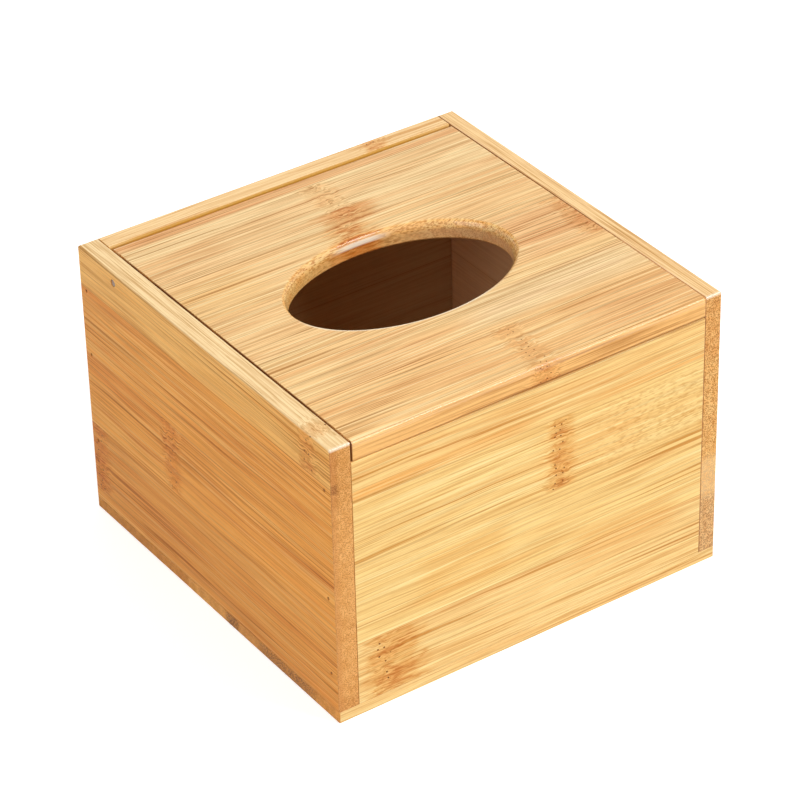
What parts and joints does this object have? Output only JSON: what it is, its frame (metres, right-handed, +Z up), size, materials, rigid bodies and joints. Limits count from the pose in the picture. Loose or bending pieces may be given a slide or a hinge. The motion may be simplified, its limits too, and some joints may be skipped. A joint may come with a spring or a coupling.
{
  "type": "tissue box cover",
  "caption": "Low square bamboo tissue box with a pinned lid that swings up at the front, an oval mouth in the lid and a flat base to stand on.",
  "frame": {"origin": "middle of the underside of the base", "axes": "+X to the right along the front, +Y to the rear, +Z up"},
  "size_m": [0.14, 0.1376, 0.097],
  "materials": {
    "lid_bamboo": "clear varnish over straight-grained bamboo strips, glossy",
    "front_bamboo": "clear varnish over straight-grained bamboo strips, glossy",
    "side_bamboo": "clear varnish over darker straight-grained bamboo strips, end grain at front and rear",
    "base_bamboo": "clear varnish over pale bamboo",
    "pin_steel": "plain steel pin end, dull",
    "brad_steel": "small brad head, dulled by varnish"
  },
  "bodies": {
    "case": {"base_panel": "base_bamboo", "left_side_panel": "side_bamboo", "right_side_panel": "side_bamboo", "front_panel": "front_bamboo", "rear_panel": "front_bamboo", "left_pivot_pin": "pin_steel", "right_pivot_pin": "pin_steel", "brad_left_front_lower": "brad_steel", "brad_left_front_middle": "brad_steel", "brad_left_front_upper": "brad_steel", "brad_left_rear_lower": "brad_steel", "brad_left_rear_middle": "brad_steel", "brad_left_rear_upper": "brad_steel", "brad_right_front_lower": "brad_steel", "brad_right_front_middle": "brad_steel", "brad_right_front_upper": "brad_steel", "brad_right_rear_lower": "brad_steel", "brad_right_rear_middle": "brad_steel", "brad_right_rear_upper": "brad_steel", "brad_base_left_front": "brad_steel", "brad_base_left_rear": "brad_steel", "brad_base_right_front": "brad_steel", "brad_base_right_rear": "brad_steel", "brad_base_front_left": "brad_steel", "brad_base_front_right": "brad_steel", "brad_base_rear_left": "brad_steel", "brad_base_rear_right": "brad_steel"},
    "lid": {"lid": "lid_bamboo"}
  },
  "joints": [
    {"name": "lid_hinge", "type": "hinge", "parent": "case", "child": "lid", "pos_m": [0, 0.04825, 0.0936], "axis": [-1, 0, 0], "range_deg": [0, 152]}
  ]
}
